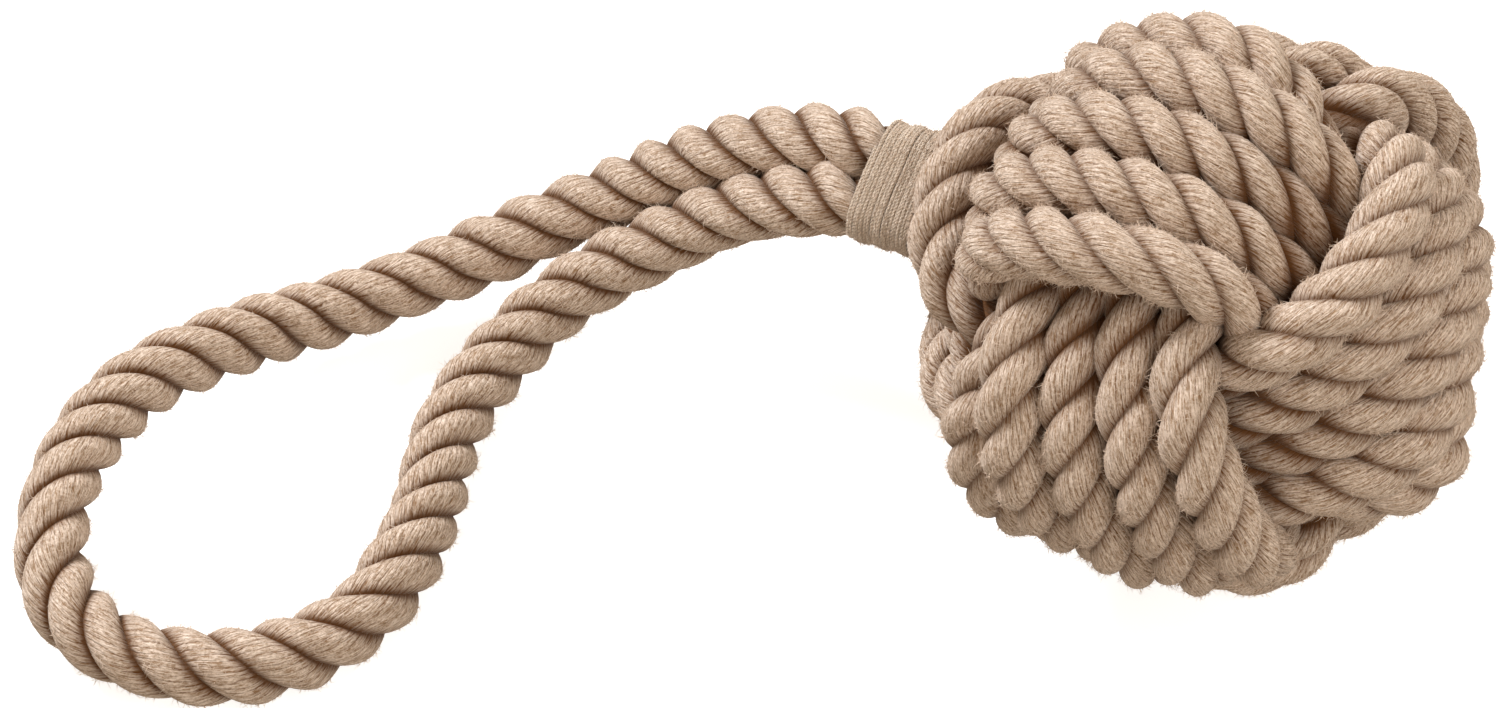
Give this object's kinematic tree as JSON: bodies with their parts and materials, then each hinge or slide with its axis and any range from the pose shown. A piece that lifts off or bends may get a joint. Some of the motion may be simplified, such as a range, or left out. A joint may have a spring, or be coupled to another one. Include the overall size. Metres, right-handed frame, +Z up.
{
  "type": "rope dog toy",
  "caption": "Rope dog toy: a monkey's fist ball tied in thick twisted rope, with a hand loop of the same rope bound to it by a twine whipping.",
  "frame": {"origin": "middle of the toy's footprint, on the surface it lies on", "axes": "+Z up, +X from the hand loop towards the ball, +Y away from the side that is pictured"},
  "size_m": [0.2442, 0.1084, 0.0941],
  "materials": {
    "rope": "matte, three-strand twisted cotton",
    "twine": "matte, fine cotton twine",
    "core": "matte"
  },
  "bodies": {
    "ball": {"core_ball": "core", "first_turns": "rope", "second_turns": "rope", "third_turns": "rope", "far_leg": "rope", "near_leg": "rope", "whipping_twine": "twine"},
    "handle": {"handle_loop": "rope"}
  },
  "joints": [
    {"name": "handle_swing", "type": "hinge", "parent": "ball", "child": "handle", "pos_m": [0.01619, 0.02964, 0.04835], "axis": [0.3969, 0.667, 0.6305], "range_deg": [-80, 80]}
  ]
}
